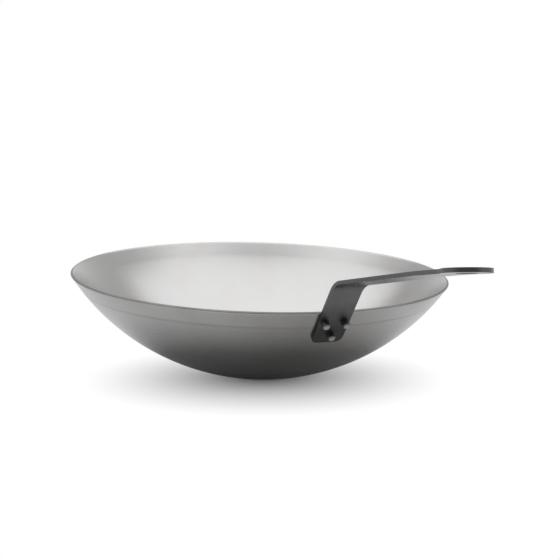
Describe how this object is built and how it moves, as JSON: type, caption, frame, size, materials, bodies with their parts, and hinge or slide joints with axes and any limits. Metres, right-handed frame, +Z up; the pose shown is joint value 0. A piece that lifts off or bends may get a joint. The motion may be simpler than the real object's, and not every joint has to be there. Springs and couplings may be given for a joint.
{
  "type": "wok",
  "caption": "Round-bottomed bowl of thin steel sheet with a straight rim band, and a long bent strip handle riveted to its wall, ending in a round paddle with a hanging eye.",
  "frame": {"origin": "lowest point of the bowl's outside, where it rests, on the bowl's axis", "axes": "+Z up along the bowl's axis; +X from the bowl's axis towards the handle; +Y to the left of the handle, seen from the bowl"},
  "size_m": [0.553, 0.3496, 0.1688],
  "materials": {
    "bowl_steel": "bare carbon steel, satin, with fine rings from spinning",
    "handle_steel": "blackened carbon steel, satin",
    "rivet_steel": "blackened steel, satin"
  },
  "bodies": {
    "root": {"bowl": "bowl_steel", "handle": "handle_steel", "rivet_upper_left": "rivet_steel", "rivet_upper_right": "rivet_steel", "rivet_lower": "rivet_steel"}
  },
  "joints": []
}
